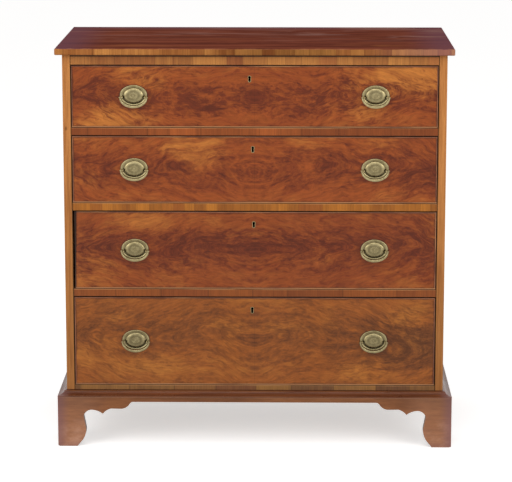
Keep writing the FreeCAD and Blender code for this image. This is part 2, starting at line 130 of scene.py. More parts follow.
def summed(total, *parts):
    # adds every value times its weight
    for value, weight in parts:
        total = timesPlus(value, weight, total)
    return total


def split(vector):
    return put("SeparateXYZ", {0: vector}).outputs


def join(x, y, z):
    return put("CombineXYZ", {0: x, 1: y, 2: z}).outputs[0]


def vectorCalc(operation, first, second):
    return put("VectorMath", {0: first, 1: second}, operation=operation).outputs[0]


def stretched(vector, x, y=None, z=None):
    # one number stands for all three axes
    return vectorCalc("MULTIPLY", vector, (x, x, x) if y is None else (x, y, z))


def vectorLength(vector):
    return put("VectorMath", {0: vector}, operation="LENGTH").outputs["Value"]


def noise(vector, detail=3.0, roughness=0.5, distortion=0.0, output="Fac"):
    inputs = {"Vector": vector, "Scale": 1.0, "Detail": detail, "Roughness": roughness,
              "Distortion": distortion}
    return put("TexNoise", inputs).outputs[output]


# the sockets of the shared effects; the rest of them are plain numbers
vectorSockets = ["Vector", "Stretch", "Centre", "Low", "High", "Glow Place", "Glow Reach", "Shade Place",
                 "Shade Reach"]
colourSockets = ["Color", "Light", "Dark", "Red", "Base", "Gold", "Streak"]
socketKinds = {**dict.fromkeys(vectorSockets, "Vector"), **dict.fromkeys(colourSockets, "Color")}


def startGroup(name, inputs, outputs):
    global tree
    tree = bpy.data.node_groups.new(name, "ShaderNodeTree")
    for side, labels in (("INPUT", inputs), ("OUTPUT", outputs)):
        for label in labels:
            kind = "NodeSocket" + socketKinds.get(label, "Float")
            tree.interface.new_socket(label, in_out=side, socket_type=kind)
    return put("NodeGroupInput").outputs


def finishGroup(results):
    put("NodeGroupOutput", results)
    return tree


def use(group, inputs):
    node = put("Group", node_tree=group)
    connect(node, inputs)
    return node.outputs


# effects that several materials share

def makeStraightGrain():
    # long fibres: stretch is how many features fit in a metre along each axis
    given = startGroup("straightGrain", ["Vector", "Stretch", "Seed", "Light", "Dark"], ["Color", "Height"])
    scaled = vectorCalc("MULTIPLY", given["Vector"], given["Stretch"])
    seed = given["Seed"]
    place = vectorCalc("ADD", scaled, join(seed, times(seed, 1.7), seed))
    broad = noise(place, detail=5.0, roughness=0.6, distortion=0.5)
    fine = noise(stretched(place, 3.0), detail=4.0, roughness=0.65)
    pores = noise(stretched(place, 11.0), detail=2.0)
    mixed = timesPlus(fine, 0.45, times(broad, 0.55))
    colour = mix(smooth(mixed, 0.36, 0.64), given["Dark"], given["Light"])
    colour = shaded(colour, pores, 0.25, 0.5, 0.82, 1.0)
    height = timesPlus(pores, 0.6, times(fine, 0.4))
    return finishGroup({"Color": colour, "Height": height})


def makeCrossBand():
    # short pieces side by side along X, each with its grain across the band and its own tone
    given = startGroup("crossBand", ["Vector", "Piece", "Seed", "Light", "Dark", "Red"],
                       ["Color", "Height"])
    x, y, z = split(given["Vector"])
    along = plus(over(x, given["Piece"]), given["Seed"])
    cellInputs = {"W": along, "Scale": 1.0, "Randomness": 0.85}
    cell = put("TexVoronoi", cellInputs, voronoi_dimensions="1D").outputs["Color"]
    joint = put("TexVoronoi", cellInputs, voronoi_dimensions="1D",
                feature="DISTANCE_TO_EDGE").outputs["Distance"]
    chance = put("SeparateColor", {0: cell}).outputs
    shift = times(chance[2], 40.0)
    fibrePlace = join(timesPlus(x, 420.0, shift), times(y, 20.0), timesPlus(z, 14.0, shift))
    fibre = noise(fibrePlace, detail=3.0, roughness=0.6)
    broadPlace = join(timesPlus(x, 75.0, shift), shift, times(z, 9.0))
    broad = noise(broadPlace, detail=3.0, roughness=0.6)
    slow = noise(join(times(x, 7.0), given["Seed"], 0.0), detail=2.0)
    shade = summed(times(broad, 0.5), (chance[0], 0.34), (slow, 0.45))
    colour = mix(smooth(shade, 0.34, 0.94), given["Dark"], given["Light"])
    colour = mix(smooth(chance[1], 0.6, 0.98, 0.0, 0.6), colour, given["Red"])
    colour = shaded(colour, fibre, 0.3, 0.62, 0.82, 1.06)
    colour = shaded(colour, joint, 0.0, 0.02, 0.62, 1.0)
    return finishGroup({"Color": colour, "Height": fibre})


def makeFiguredVeneer():
    # crotch figure, matched about the drawer's middle: a dark mottled spine along the length, and
    # streaks that leave the middle level and bow back to the spine towards the ends
    given = startGroup("figuredVeneer",
                       ["Vector", "Centre", "Half Height", "Seed", "Depth", "Wave", "Streaks", "Eye",
                        "Base", "Gold", "Streak", "Dark", "Glow", "Glow Place", "Glow Reach", "Shade",
                        "Shade Place", "Shade Reach"], ["Color", "Height"])
    here = vectorCalc("SUBTRACT", given["Vector"], given["Centre"])
    x, _, z = split(here)
    flat = join(x, 0.0, z)
    matched = root(timesPlus(x, x, 0.00002))
    loose = timesPlus(x, 0.9, given["Seed"])  # keeps the halves from being exact twins

    def field(xScale, zScale, shift, alongX, alongZ, detail, roughness=0.55, distortion=0.0, out="Fac"):
        place = join(times(alongX, xScale), times(alongZ, zScale), plus(loose, shift))
        return noise(place, detail, roughness, distortion, out)

    drift = vectorCalc("SUBTRACT", field(6.0, 11.0, 0.0, matched, z, 4.0, 0.6, out="Color"),
                       (0.5, 0.5, 0.5))
    driftX, driftZ = split(drift)[:2]
    bentX = timesPlus(driftX, times(given["Wave"], 0.07), matched)
    bentZ = timesPlus(driftZ, times(given["Wave"], 0.05), z)
    spine = minus(field(4.0, 0.0, 3.0, matched, z, 2.0), 0.47)
    rise = minus(bentZ, times(spine, 0.1))
    away = root(timesPlus(rise, rise, 0.00003))
    share = over(away, given["Half Height"])
    farOut = times(bentX, bentX)
    bow = times(farOut, 0.36)
    # the streaks close round the middle of the drawer like the lids of an eye
    lids = over(farOut, plus(farOut, 0.0064))
    bow = timesPlus(lids, given["Eye"], bow)
    across = plus(away, bow)

    def cloud(place, reach):
        # a soft patch with a ragged border
        far = vectorCalc("DIVIDE", vectorCalc("SUBTRACT", flat, place), reach)
        ragged = timesPlus(driftX, 1.8, vectorLength(far))
        return smooth(ragged, 0.2, 1.3, 1.0, 0.0)

    glow = cloud(given["Glow Place"], given["Glow Reach"])
    shade = cloud(given["Shade Place"], given["Shade Reach"])
    streaks = field(6.0, 52.0, 5.0, bentX, across, 5.0, 0.62)
    fineStreaks = field(32.0, 175.0, 7.0, bentX, across, 3.0, 0.6)
    fibres = field(55.0, 620.0, 9.0, bentX, across, 2.0, 0.6)
    mottle = field(29.0, 60.0, 11.0, bentX, across, 6.0, 0.66, 0.5)
    flecks = field(90.0, 210.0, 13.0, bentX, across, 3.0, 0.64, 0.5)
    zones = field(6.0, 11.0, 15.0, bentX, bentZ, 3.0)

    nearSpine = smooth(share, 0.1, 0.95, 1.0, 0.0)
    darkness = summed(times(mottle, 0.72), (nearSpine, 0.14), (flecks, 0.42), (streaks, 0.26),
                      (shade, given["Shade"]), (glow, -0.08))
    dark = times(smooth(darkness, 0.66, 0.96), given["Depth"], clamp=True)
    darkest = smooth(darkness, 0.88, 1.04, 1.0, 0.72)
    brightness = summed(zones, (smooth(share, 0.2, 1.0), 0.1), (smooth(matched, 0.2, 0.46), 0.05),
                        (glow, times(given["Glow"], 0.36)), (minus(0.5, mottle), 0.45))
    gold = smooth(brightness, 0.54, 0.98)
    colour = mix(gold, given["Base"], given["Gold"])
    streaked = times(smooth(streaks, 0.42, 0.66), given["Streaks"])
    colour = mix(streaked, colour, given["Streak"])
    colour = mix(times(dark, 0.85), colour, given["Dark"])
    colour = tone(colour, darkest)
    colour = shaded(colour, fineStreaks, 0.3, 0.7, 0.86, 1.14)
    colour = shaded(colour, fibres, 0.28, 0.62, 0.88, 1.05)
    colour = shaded(colour, absolute(x), 0.0, 0.0012, 0.8, 1.0)
    return finishGroup({"Color": colour, "Height": fibres})


def makeBoxEdge():
    # 1 along the edges of a box and 0 away from them, with a ragged border; it marks rubbed wear on some
    # pieces and painted shade on others
    given = startGroup("boxEdge", ["Vector", "Low", "High", "Width"], ["Near Edge"])
    low = split(vectorCalc("SUBTRACT", given["Vector"], given["Low"]))
    high = split(vectorCalc("SUBTRACT", given["High"], given["Vector"]))
    near = [smaller(low[axis], high[axis]) for axis in range(3)]
    # the middle one of the three distances is the distance to the nearest edge
    smallest, largest, total = [reduce(way, near) for way in (smaller, larger, plus)]
    edge = minus(minus(total, smallest), largest)
    rough = noise(stretched(given["Vector"], 38.0), detail=4.0)
    width = times(given["Width"], smooth(rough, 0.3, 0.7, 0.25, 1.6))
    rubbed = smooth(over(edge, width), 0.35, 1.0, 1.0, 0.0)
    return finishGroup({"Near Edge": rubbed})


def makePolish():
    # slow change of the gloss over a hand-polished surface
    given = startGroup("polish", ["Vector", "Smooth", "Dull", "Seed"], ["Roughness"])
    place = stretched(given["Vector"], 9.0)
    place = vectorCalc("ADD", place, join(given["Seed"], given["Seed"], 0.0))
    cloud = noise(place, detail=4.0, roughness=0.6)
    spread = minus(given["Dull"], given["Smooth"])
    roughness = timesPlus(smooth(cloud, 0.3, 0.7), spread, given["Smooth"])
    return finishGroup({"Roughness": roughness})


straightGrain = makeStraightGrain()
crossBand = makeCrossBand()
figuredVeneer = makeFiguredVeneer()
boxEdge = makeBoxEdge()
polish = makePolish()
print("shared effects built")


# materials

def newMaterial(name):
    global tree, unfinished
    unfinished = bpy.data.materials.new(name)
    unfinished.use_nodes = True
    tree = unfinished.node_tree
    return unfinished


def startMaterial(name, specular=0.2, metallic=0.0):
    newMaterial(name)
    connect(tree.nodes["Principled BSDF"], {"Specular IOR Level": specular, "Metallic": metallic})
    return put("TexCoord").outputs["Object"]


def finishMaterial(colour, roughness, height, depth):
    normal = put("Bump", {"Height": height, "Strength": 0.6, "Distance": depth}).outputs["Normal"]
    connect(tree.nodes["Principled BSDF"], {"Base Color": colour, "Roughness": roughness, "Normal": normal})
    return unfinished


def gloss(place, smoothest, dullest, seed=0.0):
    return use(polish, {"Vector": place, "Smooth": smoothest, "Dull": dullest, "Seed": seed})["Roughness"]


def nearEdges(place, node, width):
    low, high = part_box(node)
    return use(boxEdge, {"Vector": place, "Low": low, "High": high, "Width": width})["Near Edge"]


def grain(place, wood, seed):
    # stretch is how many features of the grain fit in a metre along X, Y and Z
    return use(straightGrain, {"Vector": place, "Stretch": wood["stretch"], "Seed": seed,
                               "Light": wood["light"], "Dark": wood["dark"]})


def arris():
    # the narrow softened edges of a piece carry this mark
    return put("Attribute", attribute_name="arris").outputs["Fac"]


def dress(names, material):
    for name in names:
        for slot in nodes[name].material_slots:
            slot.material = material


groundWood = {"light": (170, 122, 76), "dark": (122, 78, 44), "stretch": (2.2, 60.0, 60.0)}


def overGround(place, node, colour, roughness, seed, depth=1.5 * mm):
    # a veneer on the front face only: plain darker wood begins a little behind it
    y = split(place)[1]
    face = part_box(node)[0].y
    ground = grain(place, groundWood, seed)
    inside = smooth(y, face + depth, face + 2 * depth)
    colour = mix(inside, colour, ground["Color"])
    roughness = timesPlus(inside, 0.3, roughness, clamp=True)
    return colour, roughness


# the thread's radii and lengths are in millimetres, as in the profile of the turned post
post = {"aside": 28.5 * mm, "drop": 4.5 * mm, "thread": 2.0, "valley": 1.72, "tip": 1.6, "threadPitch": 0.8,
        "threadStart": 0.2, "threadEnd": 0.6, "nutRadius": 5.5 * mm, "nutThickness": 3.5 * mm,
        "nutSides": 6, "nutTurn": 40, "nutBevel": 0.5 * mm, "sides": 28}
plate = {"width": 69.5 * mm, "height": 52 * mm, "segments": 144, "dirtAndShadowReach": 3.5 * mm}
keyhole = {"radius": 3.4 * mm, "slotHalf": 2.7 * mm, "drop": 11.6 * mm, "rim": 1.2 * mm, "throat": 19 * mm,
           "proud": 0.25 * mm, "depth": 2.5 * mm, "bevel": 0.2 * mm, "steps": 24}


def handleCentre(number):
    # the middle of the right-hand plate; the left-hand one is its mirror image
    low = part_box(f"drawer_{number}_plates")[0]
    return Vector((-low.x - plate["width"] / 2, caseFace, low.z + plate["height"] / 2))


def keyholeCentre(number):
    lockLow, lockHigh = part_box(f"drawer_{number}_lock_case")
    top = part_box(f"drawer_{number}_plates")[1].z
    return Vector(((lockLow.x + lockHigh.x) / 2, caseFace, top - keyhole["radius"] - keyhole["rim"]))


# painted shade: inside the keyhole the wood and the lock iron are coloured near-black, as the throat would
# be in shade
keyholeShade = (10, 7, 6)


def inKeyhole(place, number):
    # 1 in a block round the keyhole, from just behind the drawer's face to the back of the lock
    hole = keyholeCentre(number)
    middle = (hole.x, caseFace, hole.z - keyhole["drop"] / 2)
    x, y, z = split(vectorCalc("SUBTRACT", place, middle))
    halfTall = times(absolute(z), 0.5)
    near = smooth(larger(absolute(x), halfTall), 5 * mm, 7 * mm, 1.0, 0.0)
    behind = smooth(y, 0.3 * mm, 1.0 * mm)
    before = smooth(y, keyhole["throat"], keyhole["throat"] + 0.8 * mm, 1.0, 0.0)
    return times(near, times(behind, before))


redVeneer = {"Base": (140, 68, 26), "Gold": (178, 108, 46), "Streak": (116, 50, 20), "Dark": (88, 33, 15)}
brownVeneer = {"Base": (140, 77, 29), "Gold": (168, 104, 42), "Streak": (116, 60, 24), "Dark": (86, 46, 20)}
# the patches are placed from the middle of each drawer front
frontVeneer = {
    1: {"Seed": 31.7, "Depth": 1.25, "Wave": 1.1, "Streaks": 0.5, "Eye": 0.008, **redVeneer,
        "Glow": 1.0, "Glow Place": (0.4, 0.0, 0.045), "Glow Reach": (0.13, 1.0, 0.07),
        "Shade": 0.12, "Shade Place": (-0.115, 0.0, -0.032), "Shade Reach": (0.05, 1.0, 0.026)},
    2: {"Seed": 12.3, "Depth": 1.0, "Wave": 0.9, "Streaks": 0.5, "Eye": 0.026, **redVeneer,
        "Glow": 0.6, "Glow Place": (-0.145, 0.0, 0.04), "Glow Reach": (0.09, 1.0, 0.045),
        "Shade": 0.12, "Shade Place": (0.44, 0.0, -0.02), "Shade Reach": (0.09, 1.0, 0.05)},
    3: {"Seed": 47.1, "Depth": 1.0, "Wave": 1.0, "Streaks": 0.5, "Eye": 0.025, **redVeneer,
        "Base": (133, 65, 25), "Gold": (168, 100, 42),
        "Glow": 0.3, "Glow Place": (-0.3, 0.0, 0.082), "Glow Reach": (0.16, 1.0, 0.035),
        "Shade": 0.08, "Shade Place": (0.0, 0.0, 0.022), "Shade Reach": (0.5, 1.0, 0.03)},
    4: {"Seed": 5.9, "Depth": 0.9, "Wave": 0.7, "Streaks": 0.3, "Eye": 0.015, **brownVeneer,
        "Glow": 0.5, "Glow Place": (-0.28, 0.0, -0.04), "Glow Reach": (0.32, 1.0, 0.07),
        "Shade": 0.13, "Shade Place": (0.4, 0.0, 0.0), "Shade Reach": (0.14, 1.0, 0.09)}}


leftShadow = {3: 9 * mm}  # the third drawer sits askew, and its left edge is lost in the post's shadow


def shadowedEdge(x, z, low, high, number, colour):
    # darkest at the drawer's upper left corner, and narrower down its side
    if number not in leftShadow:
        return colour
    reach = smooth(z, low.z, high.z, 0.35 * leftShadow[number], leftShadow[number])
    share = over(minus(x, low.x), reach)
    return shaded(colour, share, 0.35, 1.0, 0.12, 1.0)


def drawerFrontMaterial(number):
    name = f"drawer_{number}_front"
    low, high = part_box(name)
    handle = handleCentre(number)
    place = startMaterial(f"figured veneer {number}")
    figure = use(figuredVeneer, {"Vector": place, "Centre": (low + high) / 2,
                                 "Half Height": (high.z - low.z) / 2, **frontVeneer[number]})
    x, _, z = split(place)
    # wax and dirt gather round the handle plates, and the darkened ring round each plate is also painted
    # shadow of the plate; along the bead a darker band is painted shade with some dirt, and the keyhole's
    # throat is painted near-black as shade
    acrossPlate = over(minus(absolute(x), handle.x), plate["width"] / 2)
    upPlate = over(minus(z, handle.z), plate["height"] / 2)
    reach = root(plus(calc("POWER", acrossPlate, 2.0), calc("POWER", upPlate, 2.0)))
    dirtAndShadow = smooth(reach, 0.98, 1.0 + plate["dirtAndShadowReach"] / (plate["height"] / 2), 0.55, 1.0)
    colour = tone(figure["Color"], dirtAndShadow)
    # painted shade with some dirt: a darker band inside the front's edges, along the bead
    line = nearEdges(place, name, 6.5 * mm)
    colour = shaded(colour, line, 0.0, 1.0, 1.0, 0.7)
    colour = shadowedEdge(x, z, low, high, number, colour)
    colour, roughness = overGround(place, name, colour, gloss(place, 0.3, 0.42, number), number)
    colour = mix(inKeyhole(place, number), colour, keyholeShade)
    return finishMaterial(colour, roughness, figure["Height"], 0.2 * mm)


def jointShadeAndDirt(colour, value, edge, reach, darkest):
    # painted shade with some dirt in a joint or gap, darkest at its edge and gone a short reach away
    return shaded(colour, value, edge, edge + reach, darkest, 1.0)


banding = {"rubbed": (196, 142, 92), "worn": 0.75, "gap": 1.5 * mm, "seat": 0.3 * mm, "shadeAndDirt": 0.18,
           "shadeAndDirtReach": 1.4 * mm, "overhang": 4.2 * mm}


def railEdges(place, colour, low, high):
    # painted shade in the gaps under and over a rail, and a lighter line below its upper edge that is
    # partly wear and partly painted highlight
    z = split(place)["Z"]
    patchy = noise(stretched(place, 11.0, 11.0, 60.0), 4.0)
    fromTop = minus(high, z)
    line = distance(fromTop, 2.1 * mm)
    rubbed = times(smooth(line, 0.2 * mm, 1.1 * mm, 1.0, 0.0),
                   smooth(patchy, 0.32, 0.62, 0.1, banding["worn"]))
    colour = mix(rubbed, colour, banding["rubbed"])
    colour = jointShadeAndDirt(colour, fromTop, 0.5 * mm, banding["shadeAndDirtReach"], banding["shadeAndDirt"])
    return jointShadeAndDirt(colour, z, low + 0.3 * mm, banding["shadeAndDirtReach"], banding["shadeAndDirt"])


def bandedMaterial(node, tones, overhang=0.0):
    place = startMaterial(node.replace("_", " ") + " banding")
    low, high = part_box(node)
    band = use(crossBand, {"Vector": place, **tones})
    if overhang:
        # painted shadow of the top's overhang on the upper part of this rail, and painted shade in the gap
        # below the rail
        z = split(place)["Z"]
        colour = jointShadeAndDirt(band["Color"], z, low.z + 0.3 * mm, banding["shadeAndDirtReach"], banding["shadeAndDirt"])
        colour = jointShadeAndDirt(colour, z, high.z - overhang, -2.6 * mm, 0.16)
    else:
        colour = railEdges(place, band["Color"], low.z, high.z)
    roughness = gloss(place, 0.32, 0.46, tones["Seed"])
    colour, roughness = overGround(place, node, colour, roughness, tones["Seed"])
    return finishMaterial(colour, roughness, band["Height"], 0.2 * mm)


topRailTones = {"Piece": 0.045, "Seed": 5.4, "Light": (186, 124, 62), "Dark": (136, 80, 40),
                "Red": (146, 74, 42)}
topEdgeTones = {"Piece": 0.036, "Seed": 3.3, "Light": (184, 124, 66), "Dark": (130, 76, 40),
                "Red": (142, 74, 44)}
bottomRailTones = {"Piece": 0.11, "Seed": 17.0, "Light": (140, 96, 48), "Dark": (98, 63, 38),
                   "Red": (108, 60, 36)}
# the dividers from the lowest up: lightPieces are the ends of paler pieces let into the band
dividerTones = [
    {"Piece": 0.12, "Seed": 11.0, "Light": (138, 74, 30), "Dark": (112, 56, 22),
     "Red": (116, 55, 24)},
    {"Piece": 0.03, "Seed": 23.0, "Light": (172, 106, 36), "Dark": (128, 72, 24),
     "Red": (134, 70, 28)},
    {"Piece": 0.13, "Seed": 37.0, "Light": (145, 75, 31), "Dark": (113, 55, 22),
     "Red": (118, 53, 22)}]
lightPieces = [[], [], [(-0.214, -0.15), (0.004, 0.055)]]


def dividerMaterial():
    # the three dividers are one node, so their tones are told apart by height, from the lowest up
    place = startMaterial("divider banding")
    x, _, z = split(place)
    colours = []
    heights = []
    for tones, pieces, below in zip(dividerTones, lightPieces, (4, 3, 2)):
        band = use(crossBand, {"Vector": place, **tones})
        colour = band["Color"]
        for start, end in pieces:
            inside = times(calc("GREATER_THAN", x, start), calc("LESS_THAN", x, end))
            colour = tone(colour, timesPlus(inside, 0.26, 1.0))
        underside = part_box(f"drawer_{below}_cockbead")[1].z + banding["gap"]
        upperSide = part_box(f"drawer_{below - 1}_cockbead")[0].z - banding["seat"]
        colours.append(railEdges(place, colour, underside, upperSide))
        heights.append(band["Height"])
    colour = colours[0]
    for upper, gap in ((1, 3), (2, 2)):
        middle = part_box(f"drawer_{gap}_front")
        level = (middle[0].z + middle[1].z) / 2
        colour = mix(calc("GREATER_THAN", z, level), colour, colours[upper])
    roughness = gloss(place, 0.32, 0.46, 7.0)
    colour, roughness = overGround(place, "drawer_dividers", colour, roughness, 2.0)
    return finishMaterial(colour, roughness, heights[0], 0.2 * mm)


topTones = {"light": (128, 68, 50), "dark": (86, 42, 34), "stretch": (3.0, 42.0, 42.0),
            "reflectionTint": (108, 72, 84), "sheen": (142, 102, 92), "warm": (140, 82, 50),
            "rubbed": (172, 118, 88), "edgeGrey": (128, 98, 108), "shade": 0.08, "shadeReach": 0.26,
            "crack": -0.408, "worn": 0.65, "sideEdge": 1.25}


def topMaterial():
    # a dark polished upper face, light cross-banding on the front edge and plain sides and back
    place = startMaterial("dark polished top", 0.0)
    low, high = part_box("top_board")
    x, y, z = split(place)
    board = grain(place, topTones, 9.0)
    band = use(crossBand, {"Vector": place, **topEdgeTones})
    onTop = smooth(z, high.z - 2.2 * mm, high.z - 0.8 * mm)
    # painted reflection: the ends and the back of the top take a pale purple tint, as a sheen on the polish
    toEnd = smooth(absolute(x), high.x - 0.13, high.x - 0.01)
    toBack = smooth(y, high.y - 0.09, high.y)
    endReflection = times(larger(toEnd, toBack), topTones["worn"])
    topColour = mix(endReflection, board["Color"], topTones["reflectionTint"])
    # long pale patches towards the back are painted sheen, and the old polish is thin and warm towards the
    # front
    patches = noise(stretched(place, 4.5, 17.0, 1.0), 4.0, 0.62, 0.5)
    atBack = smooth(y, low.y + 0.1, high.y - 0.16)
    sheenPatches = times(smooth(patches, 0.48, 0.68, 0.0, 0.6), atBack)
    sheenPatches = times(sheenPatches, smooth(x, 0.0, 0.3, 0.9, 1.4))
    topColour = mix(sheenPatches, topColour, topTones["sheen"])
    thin = times(smooth(patches, 0.46, 0.3, 0.0, 0.55), minus(1.0, atBack))
    topColour = mix(thin, topColour, topTones["warm"])
    rubbed = nearEdges(place, "top_board", 2 * mm)
    topColour = mix(times(rubbed, 0.4), topColour, topTones["rubbed"])
    # the banding is darkest near the middle of the front, and cracked at one joint
    fromShade = distance(x, topTones["shade"])
    edge = shaded(band["Color"], fromShade, 0.06, topTones["shadeReach"], 0.62, 1.0)
    edge = mix(smooth(x, high.x - 0.26, high.x, 0.0, 0.4), edge, topTones["edgeGrey"])
    fromCrack = distance(x, topTones["crack"])
    edge = shaded(edge, fromCrack, 0.4 * mm, 1.2 * mm, 0.3, 1.0)
    edge = mix(smooth(absolute(x), high.x - 1.2 * mm, high.x - 0.4 * mm), edge,
               tone(board["Color"], topTones["sideEdge"]))
    edge = mix(smooth(y, high.y - 1.5 * mm, high.y - 0.5 * mm), edge, board["Color"])
    colour = mix(onTop, edge, topColour)
    return finishMaterial(colour, gloss(place, 0.34, 0.5, 3.0), board["Height"], 0.15 * mm)


postTones = {"light": (194, 130, 72), "dark": (156, 98, 50), "stretch": (170.0, 60.0, 4.0),
             "rubbed": (204, 150, 100), "knot": (-0.479, 0.0, 0.829), "knotReach": (5 * mm, 1.0, 8 * mm)}
sideTones = {"light": (150, 88, 48), "dark": (110, 60, 34), "stretch": (30.0, 34.0, 1.5),
             "bareStretch": (60.0, 30.0, 2.0)}


def sideMaterial(node, seed):
    # lighter facing on the front edge, plain board on the side, bare wood inside
    place = startMaterial("case " + node, 0.1)
    low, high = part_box(node)
    x, y, z = split(place)
    facing = grain(place, postTones, seed)
    board = grain(place, sideTones, seed + 10)
    bare = grain(place, {**groundWood, "stretch": sideTones["bareStretch"]}, seed + 20)
    inner = min(abs(low.x), abs(high.x))
    across = absolute(x)
    isInner = smooth(across, inner + 0.5 * mm, inner + 1.5 * mm, 1.0, 0.0)
    onFront = smooth(y, low.y + 0.8 * mm, low.y + 1.6 * mm, 1.0, 0.0)
    front = mix(times(arris(), 0.35), facing["Color"], postTones["rubbed"])
    front = shaded(front, z, 0.15, high.z, 0.7, 1.04)
    toKnot = vectorCalc("SUBTRACT", join(x, 0.0, z), postTones["knot"])
    toKnot = vectorCalc("DIVIDE", toKnot, postTones["knotReach"])
    fromKnot = vectorLength(toKnot)
    front = shaded(front, fromKnot, 0.2, 1.0, 0.55, 1.0)
    # painted shade: the post's inner edge is darker where the gap beside the drawers lies in shade
    front = jointShadeAndDirt(front, across, inner + 1.0 * mm, 1.8 * mm, 0.12)
    colour = mix(isInner, board["Color"], bare["Color"])
    colour = shaded(colour, z, low.z, high.z, 0.84, 1.04)
    colour = mix(onFront, colour, front)
    return finishMaterial(colour, gloss(place, 0.32, 0.46, seed), board["Height"], 0.2 * mm)


footTones = {"light": (146, 92, 55), "dark": (116, 69, 39), "stretch": (5.0, 5.0, 40.0),
             "pale": (180, 136, 112), "end": (122, 84, 84), "worn": (184, 144, 118), "cut": 0.42}


def frontCorner(x, y, low, high, reach):
    # the two front corners of the base, where cleaning has greyed the polish
    outward = smooth(absolute(x), high.x - reach, high.x)
    return times(outward, smooth(y, low.y + 0.01, low.y + 0.075, 1.0, 0.0))


def baseMaterial():
    place = startMaterial("bracket base")
    x, y, z = split(place)
    low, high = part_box("bracket_front")
    board = grain(place, footTones, 21.0)
    # handling has left the feet pale in places, the outer corners are greyed, and the apron is darker
    blotch = noise(stretched(place, 16.0, 16.0, 26.0), 5.0, 0.65)
    lowDown = smooth(z, high.z * 0.25, high.z * 0.75, 1.0, 0.0)
    paled = times(smooth(blotch, 0.36, 0.7, 0.25, 0.9), lowDown)
    paled = larger(paled, smooth(absolute(x), 0.36, 0.45, 0.0, 0.18))
    colour = mix(paled, board["Color"], footTones["pale"])
    nearFloor = smooth(z, 0.0, 0.022, 0.45, 0.0)
    greyed = larger(frontCorner(x, y, low, high, 0.034), nearFloor)
    greyed = times(greyed, 0.75)
    colour = mix(greyed, colour, footTones["end"])
    colour = shaded(colour, z, high.z * 0.45, high.z, 1.04, 0.8)
    colour = shaded(colour, absolute(x), 0.12, 0.4, 0.93, 1.0)
    colour = mix(times(arris(), 0.45), colour, footTones["worn"])
    # the sawn edges of the cut-outs and the inner faces are bare, and darkened further as painted shade
    inward = smaller(minus(y, low.y), minus(high.x, absolute(x)))
    colour = shaded(colour, inward, 1.0 * mm, 2.4 * mm, 1.0, footTones["cut"])
    return finishMaterial(colour, gloss(place, 0.34, 0.5, 2.0), board["Height"], 0.25 * mm)


mouldingTones = {"light": (112, 62, 33), "dark": (84, 44, 25), "stretch": (4.0, 60.0, 60.0),
                 "bead": (166, 110, 64), "fillet": (138, 98, 76)}
# where the bands of the moulding lie, as a share of its height
mouldingBands = {"fillet": 0.17, "bead": 0.82, "top": 0.9}


def mouldingMaterial():
    place = startMaterial("base moulding", 0.2)
    low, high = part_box("base_moulding")
    x, y, z = split(place)
    board = grain(place, mouldingTones, 25.0)
    level = over(minus(z, low.z), high.z - low.z)

    def band(middle, reach):
        return smooth(distance(level, middle), 0.0, reach, 1.0, 0.0)

    # the bead and the fillet are lighter in patches, partly wear and partly painted highlight, and painted
    # shade with some dirt lines both joints
    patchy = noise(stretched(place, 9.0), 4.0)
    worn = smooth(patchy, 0.3, 0.6)
    colour = board["Color"]
    for name, reach, most in (("bead", 0.1, 0.3), ("fillet", 0.09, 0.25)):
        rubbed = times(times(band(mouldingBands[name], reach), worn), most)
        colour = mix(rubbed, colour, mouldingTones[name])
    colour = jointShadeAndDirt(colour, level, 0.01, 0.07, 0.3)
    colour = jointShadeAndDirt(colour, level, 1.0, mouldingBands["top"] - 1.0, 0.25)
    greyed = times(frontCorner(x, y, low, high, 0.04), 0.5)
    colour = mix(greyed, colour, footTones["end"])
    return finishMaterial(colour, gloss(place, 0.18, 0.32, 6.0), board["Height"], 0.1 * mm)


beadTones = {"light": (154, 100, 72), "dark": (112, 66, 48), "stretch": (9.0, 60.0, 9.0),
             "rubbed": (188, 134, 88), "shadeAndDirt": (24, 12, 9), "width": 3 * mm}


def beadMaterial(number):
    # a pale nose between the painted shade of the gap round the drawer and a painted shade line along the
    # veneer; the pale is partly painted highlight
    name = f"drawer_{number}_cockbead"
    place = startMaterial(f"cock bead {number}")
    low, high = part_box(name)
    x, y, z = split(place)
    board = grain(place, beadTones, number + 13.0)
    # painted highlight with wear: the bead is lighter along the bottom, as if lit from above, and in
    # patches all round
    onBottom = smooth(z, low.z + beadTones["width"], low.z + beadTones["width"] + 1 * mm, 1.0, 0.0)
    patchy = noise(stretched(place, 7.0), 4.0)
    rubbed = times(onBottom, smooth(patchy, 0.3, 0.55, 0.2, 0.8))
    rubbed = larger(rubbed, smooth(patchy, 0.5, 0.68, 0.0, 0.6))
    colour = mix(rubbed, board["Color"], beadTones["rubbed"])
    # painted shade: the bead's outer edge and flank are near-black where the gap round the drawer lies in
    # shade
    outer = smaller(minus(x, low.x), minus(high.x, x))
    outer = smaller(outer, smaller(minus(z, low.z), minus(high.z, z)))
    inGap = smooth(outer, 0.3 * mm, 1.0 * mm, 1.0, 0.0)
    flank = smooth(y, caseFace - 0.9 * mm, caseFace - 0.1 * mm)
    # its outer faces, which show when the drawer is open, are only brown with age
    behind = smooth(y, caseFace + 0.6 * mm, caseFace + 1.6 * mm)
    shadeAndDirt = mix(behind, beadTones["shadeAndDirt"], tone(colour, 0.62))
    colour = mix(larger(flank, inGap), colour, shadeAndDirt)
    # painted shade: a darker line along the bead's inner side, next to the veneer
    colour = shaded(colour, outer, 1.7 * mm, 2.6 * mm, 1.0, 0.55)
    colour = shadowedEdge(x, z, low, high, number, colour)
    return finishMaterial(colour, gloss(place, 0.3, 0.45, number), board["Height"], 0.1 * mm)


